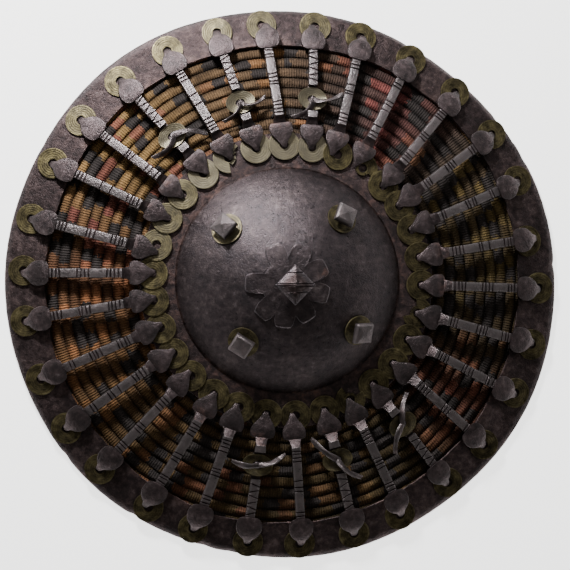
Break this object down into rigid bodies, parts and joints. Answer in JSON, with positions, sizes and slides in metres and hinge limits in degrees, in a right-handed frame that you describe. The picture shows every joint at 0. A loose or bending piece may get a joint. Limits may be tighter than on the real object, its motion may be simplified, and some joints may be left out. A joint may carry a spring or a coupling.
{
  "type": "buckler shield",
  "caption": "Round buckler of coiled wicker with an iron rim and boss, joined by a ring of forged radial bars over brass washers, with a petal rosette and square knob.",
  "frame": {"origin": "middle of the rim, on the plane of the rim's underside, which is the ground when the shield lies face up", "axes": "+Z out of the shield's face, along the boss; +Y towards the top of the shield as worn, +X to its right seen from the front"},
  "size_m": [0.3827, 0.3777, 0.0804],
  "materials": {
    "dark_iron": "worn",
    "worn_iron": "worn",
    "brass": "worn",
    "wicker": "worn",
    "leather": "worn"
  },
  "bodies": {
    "root": {"rim": "dark_iron", "wicker_body": "wicker", "centre_plate": "dark_iron", "inner_washers": "brass", "boss": "dark_iron", "rosette": "dark_iron", "finial": "worn_iron", "stud_1": "worn_iron", "stud_washer_1": "brass", "stud_2": "worn_iron", "stud_washer_2": "brass", "stud_3": "worn_iron", "stud_washer_3": "brass", "stud_4": "worn_iron", "stud_washer_4": "brass", "bar_01": "worn_iron", "bar_02": "worn_iron", "bar_03": "worn_iron", "bar_04": "worn_iron", "bar_05": "worn_iron", "bar_06": "worn_iron", "bar_07": "worn_iron", "bar_08": "worn_iron", "bar_09": "worn_iron", "bar_10": "worn_iron", "bar_11": "worn_iron", "bar_12": "worn_iron", "bar_13": "worn_iron", "bar_14": "worn_iron", "bar_15": "worn_iron", "bar_16": "worn_iron", "bar_17": "worn_iron", "bar_18": "worn_iron", "bar_19": "worn_iron", "bar_20": "worn_iron", "bar_21": "worn_iron", "bar_22": "worn_iron", "bar_23": "worn_iron", "bar_24": "worn_iron", "bar_25": "worn_iron", "bar_26": "worn_iron", "bar_27": "worn_iron", "bar_28": "worn_iron", "bar_29": "worn_iron", "bar_30": "worn_iron", "split_pin_1": "worn_iron", "pin_washer_1": "brass", "split_pin_2": "worn_iron", "pin_washer_2": "brass", "split_pin_3": "worn_iron", "pin_washer_3": "brass", "split_pin_4": "worn_iron", "pin_washer_4": "brass", "split_pin_5": "worn_iron", "pin_washer_5": "brass", "split_pin_6": "worn_iron", "pin_washer_6": "brass", "hand_strap_1": "leather", "hand_strap_2": "leather"}
  },
  "joints": []
}
